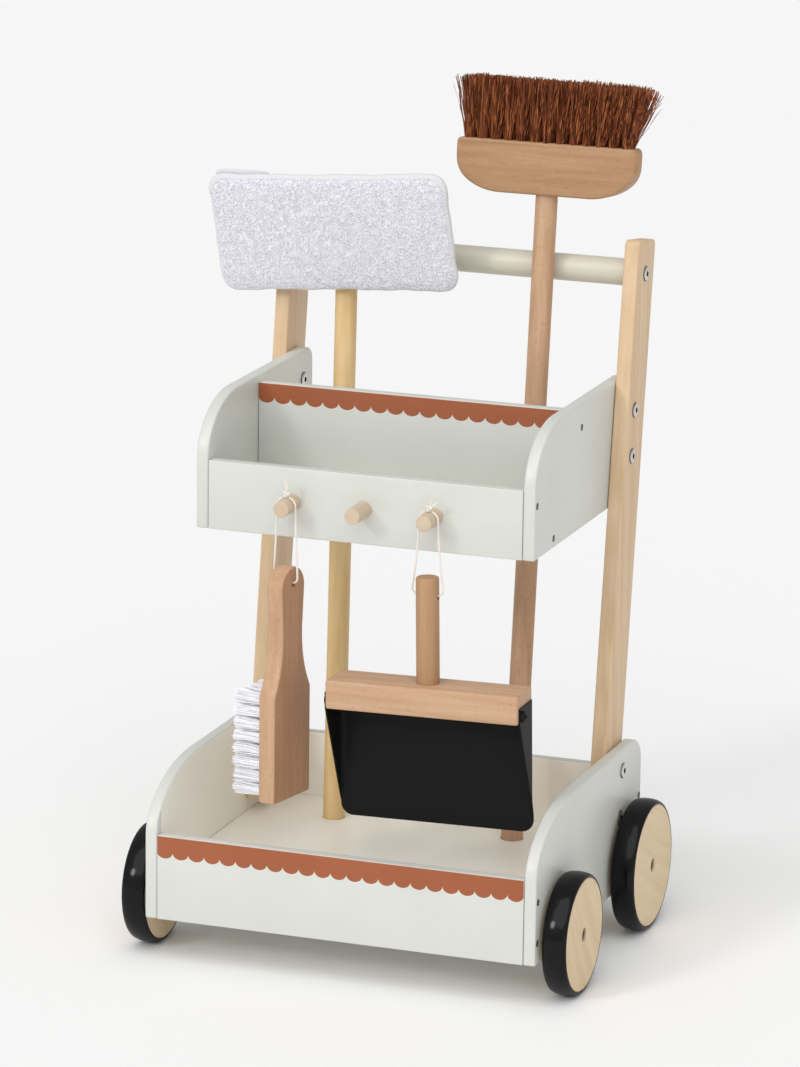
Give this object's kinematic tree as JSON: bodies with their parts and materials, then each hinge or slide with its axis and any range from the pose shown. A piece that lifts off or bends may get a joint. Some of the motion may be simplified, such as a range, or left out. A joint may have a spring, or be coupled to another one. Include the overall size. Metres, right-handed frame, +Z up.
{
  "type": "toy cleaning cart",
  "caption": "Wooden toy cleaning cart with an upper and a lower tray on leaning posts, wheels and a handlebar, holding a mop, a broom, a hand brush and a dustpan.",
  "frame": {"origin": "on the ground, under the middle of the object's box", "axes": "+X to the cart's right seen from its front, +Y to the rear, towards the handlebar, +Z up"},
  "size_m": [0.3914, 0.3058, 0.692],
  "materials": {
    "cream_paint": "satin cream-grey paint on board",
    "beech": "fine flecked beech, clear matt lacquer",
    "pine": "pale straight-grained pine, clear matt lacquer",
    "wheel_wood": "pale ply face, clear matt lacquer",
    "black_rubber": "smooth satin black",
    "bright_steel": "bright zinc",
    "grey_plastic": "fine moulded grain",
    "white_terry": "looped terry with a bound edge",
    "brown_coir": "coarse dyed coir",
    "white_nylon": "crimped nylon filament",
    "black_sheet": "matt black powder coat",
    "cotton_cord": "twisted cotton"
  },
  "bodies": {
    "cart": {"lower_side_left": "cream_paint", "lower_side_right": "cream_paint", "lower_front_panel": "cream_paint", "lower_back_panel": "cream_paint", "lower_floor": "cream_paint", "upper_side_left": "cream_paint", "upper_side_right": "cream_paint", "upper_front_panel": "cream_paint", "upper_back_panel": "cream_paint", "upper_floor": "cream_paint", "peg_left": "beech", "peg_middle": "beech", "peg_right": "beech", "post_left": "pine", "post_right": "pine", "handlebar": "cream_paint", "lower_bolt_left_1": "bright_steel", "lower_bolt_left_2": "bright_steel", "upper_bolt_left_1": "bright_steel", "upper_bolt_left_2": "bright_steel", "bar_screw_left": "bright_steel", "lower_bolt_right_1": "bright_steel", "lower_bolt_right_2": "bright_steel", "upper_bolt_right_1": "bright_steel", "upper_bolt_right_2": "bright_steel", "bar_screw_right": "bright_steel", "axle_front_left": "bright_steel", "axle_front_right": "bright_steel", "axle_rear_left": "bright_steel", "axle_rear_right": "bright_steel"},
    "front_left_wheel": {"wheel_front_left": "wheel_wood", "tyre_front_left": "black_rubber"},
    "front_right_wheel": {"wheel_front_right": "wheel_wood", "tyre_front_right": "black_rubber"},
    "rear_left_wheel": {"wheel_rear_left": "wheel_wood", "tyre_rear_left": "black_rubber"},
    "rear_right_wheel": {"wheel_rear_right": "wheel_wood", "tyre_rear_right": "black_rubber"},
    "mop": {"mop_pole": "pine", "mop_cap": "grey_plastic"},
    "mop_head": {"mop_hinge_pin": "bright_steel", "mop_plate": "grey_plastic", "mop_pad": "white_terry"},
    "broom": {"broom_pole": "beech", "broom_head": "beech", "broom_bristles": "brown_coir"},
    "hand_brush": {"brush_block": "beech", "brush_bristles": "white_nylon", "brush_cord": "cotton_cord", "brush_knot": "cotton_cord"},
    "dustpan": {"pan_handle": "beech", "pan_block": "beech", "pan_sheet": "black_sheet", "pan_screw_left": "black_sheet", "pan_screw_right": "black_sheet", "pan_cord": "cotton_cord", "pan_knot": "cotton_cord"}
  },
  "joints": [
    {"name": "front_left_wheel_spin", "type": "hinge", "parent": "cart", "child": "front_left_wheel", "pos_m": [-0.16073, -0.09994, 0.0495], "axis": [1, 0, 0], "continuous": true},
    {"name": "front_right_wheel_spin", "type": "hinge", "parent": "cart", "child": "front_right_wheel", "pos_m": [0.17567, -0.09994, 0.0495], "axis": [1, 0, 0], "continuous": true},
    {"name": "rear_left_wheel_spin", "type": "hinge", "parent": "cart", "child": "rear_left_wheel", "pos_m": [-0.16073, 0.07906, 0.0543], "axis": [1, 0, 0], "continuous": true},
    {"name": "rear_right_wheel_spin", "type": "hinge", "parent": "cart", "child": "rear_right_wheel", "pos_m": [0.17567, 0.07906, 0.0543], "axis": [1, 0, 0], "continuous": true},
    {"name": "mop_lift", "type": "slide", "parent": "cart", "child": "mop", "axis": [-0.0272, 0.1119, 0.9934], "range_m": [0, 0.07]},
    {"name": "mop_head_tilt", "type": "hinge", "parent": "mop", "child": "mop_head", "pos_m": [-0.08806, 0.11065, 0.56469], "axis": [-0.9996, 0, -0.0274], "range_deg": [0, 25]},
    {"name": "broom_lift", "type": "slide", "parent": "cart", "child": "broom", "axis": [0, 0.1119, 0.9937], "range_m": [0, 0.15]},
    {"name": "brush_swing", "type": "hinge", "parent": "cart", "child": "hand_brush", "pos_m": [-0.05203, -0.11894, 0.3782], "axis": [0, 1, 0], "range_deg": [-2.5, 10]},
    {"name": "dustpan_swing", "type": "hinge", "parent": "cart", "child": "dustpan", "pos_m": [0.06697, -0.11894, 0.3782], "axis": [0, 1, 0], "range_deg": [-1.6, 2.5]}
  ]
}
